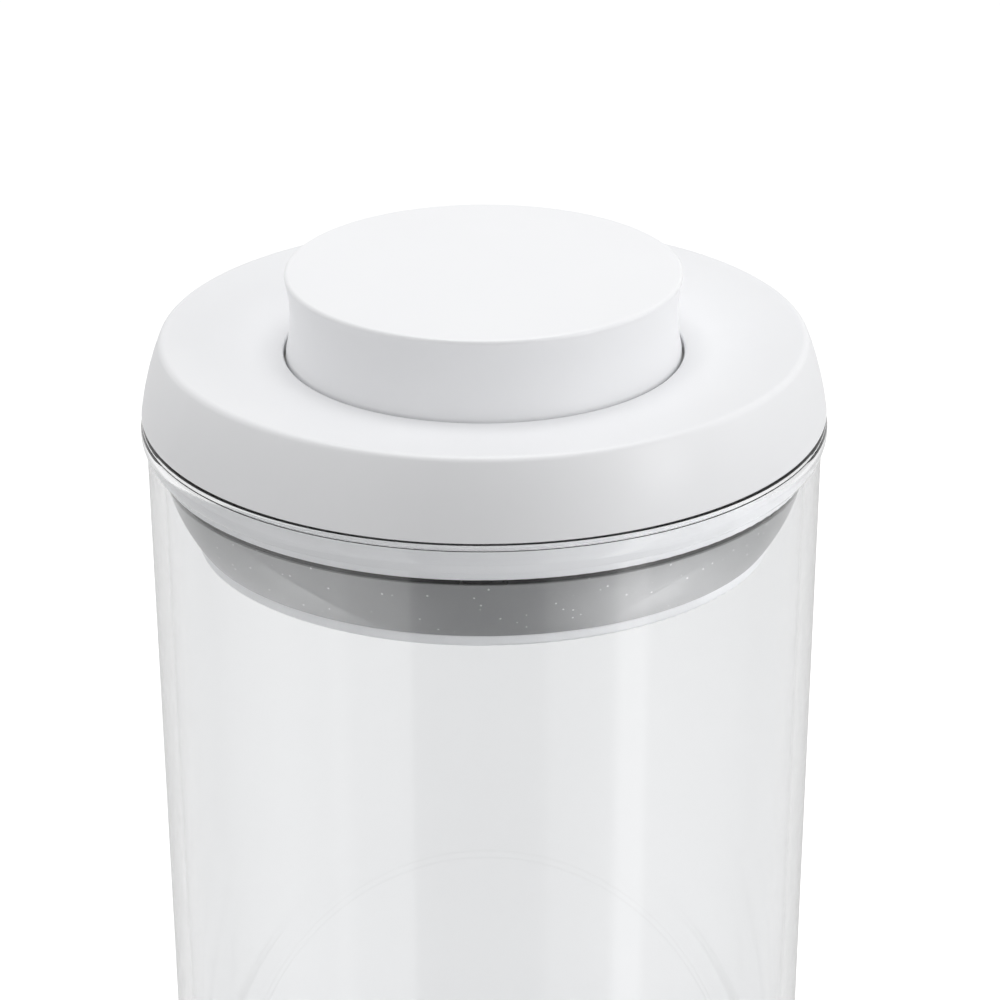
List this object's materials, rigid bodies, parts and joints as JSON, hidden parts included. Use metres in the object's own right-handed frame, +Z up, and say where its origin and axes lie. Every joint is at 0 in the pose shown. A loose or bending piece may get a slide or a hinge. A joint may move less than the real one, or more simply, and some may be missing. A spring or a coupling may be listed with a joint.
{
  "type": "vacuum seal canister",
  "caption": "Tall clear round canister with a white push-button lid: pressing the button spreads inner shoes that swell a grey silicone gasket against the wall.",
  "frame": {"origin": "centre of the canister's underside, where it stands", "axes": "+Z up along the canister's axis, the button faces up; the latch inside the lid lies towards +Y; the picture looks along +Y"},
  "size_m": [0.1324, 0.1324, 0.2275],
  "materials": {
    "clear_plastic": "clear, polished, moulded",
    "white_plastic": "satin white, moulded",
    "grey_silicone": "smooth silicone",
    "black_plastic": "matt black, moulded",
    "natural_acetal": "natural, moulded",
    "spring_steel": "drawn wire",
    "steel": "zinc plated"
  },
  "bodies": {
    "canister": {"canister": "clear_plastic"},
    "lid": {"lid_cover": "white_plastic", "lid_base": "white_plastic", "gasket": "grey_silicone", "bottom_plate": "white_plastic", "guide_ring": "black_plastic", "base_screws": "steel", "spring_washer": "steel", "return_spring": "spring_steel", "latch_bracket": "white_plastic"},
    "button": {"button": "white_plastic", "wedge_ring": "natural_acetal", "button_screws": "steel", "heart_cam": "natural_acetal"},
    "latch": {"latch_wire": "spring_steel"},
    "shoe_1": {"expander_shoe_1": "black_plastic"},
    "shoe_2": {"expander_shoe_2": "black_plastic"},
    "shoe_3": {"expander_shoe_3": "black_plastic"},
    "shoe_4": {"expander_shoe_4": "black_plastic"},
    "shoe_5": {"expander_shoe_5": "black_plastic"},
    "shoe_6": {"expander_shoe_6": "black_plastic"}
  },
  "joints": [
    {"name": "lid_lift", "type": "slide", "parent": "canister", "child": "lid", "axis": [0, 0, 1], "range_m": [0, 0.12]},
    {"name": "button_press", "type": "slide", "parent": "lid", "child": "button", "axis": [0, 0, 1], "range_m": [-0.01315, 0], "stiffness_N_per_m": 500, "springref_m": 0.012, "deforming": ["return_spring", "gasket"]},
    {"name": "latch_swing", "type": "hinge", "parent": "lid", "child": "latch", "pos_m": [0, 0.01855, 0.17805], "axis": [0, 1, 0], "range_deg": [0, 20]},
    {"name": "shoe_1_slide", "type": "slide", "parent": "lid", "child": "shoe_1", "axis": [1, 0, 0], "range_m": [0, 0.0007]},
    {"name": "shoe_2_slide", "type": "slide", "parent": "lid", "child": "shoe_2", "axis": [0.5, 0.866, 0], "range_m": [0, 0.0007]},
    {"name": "shoe_3_slide", "type": "slide", "parent": "lid", "child": "shoe_3", "axis": [-0.5, 0.866, 0], "range_m": [0, 0.0007]},
    {"name": "shoe_4_slide", "type": "slide", "parent": "lid", "child": "shoe_4", "axis": [-1, 0, 0], "range_m": [0, 0.0007]},
    {"name": "shoe_5_slide", "type": "slide", "parent": "lid", "child": "shoe_5", "axis": [-0.5, -0.866, 0], "range_m": [0, 0.0007]},
    {"name": "shoe_6_slide", "type": "slide", "parent": "lid", "child": "shoe_6", "axis": [0.5, -0.866, 0], "range_m": [0, 0.0007]}
  ],
  "couplings": [
    {"joint": "shoe_1_slide", "follows": "button_press", "ratio": -0.05323},
    {"joint": "shoe_2_slide", "follows": "button_press", "ratio": -0.05323},
    {"joint": "shoe_3_slide", "follows": "button_press", "ratio": -0.05323},
    {"joint": "shoe_4_slide", "follows": "button_press", "ratio": -0.05323},
    {"joint": "shoe_5_slide", "follows": "button_press", "ratio": -0.05323},
    {"joint": "shoe_6_slide", "follows": "button_press", "ratio": -0.05323}
  ]
}
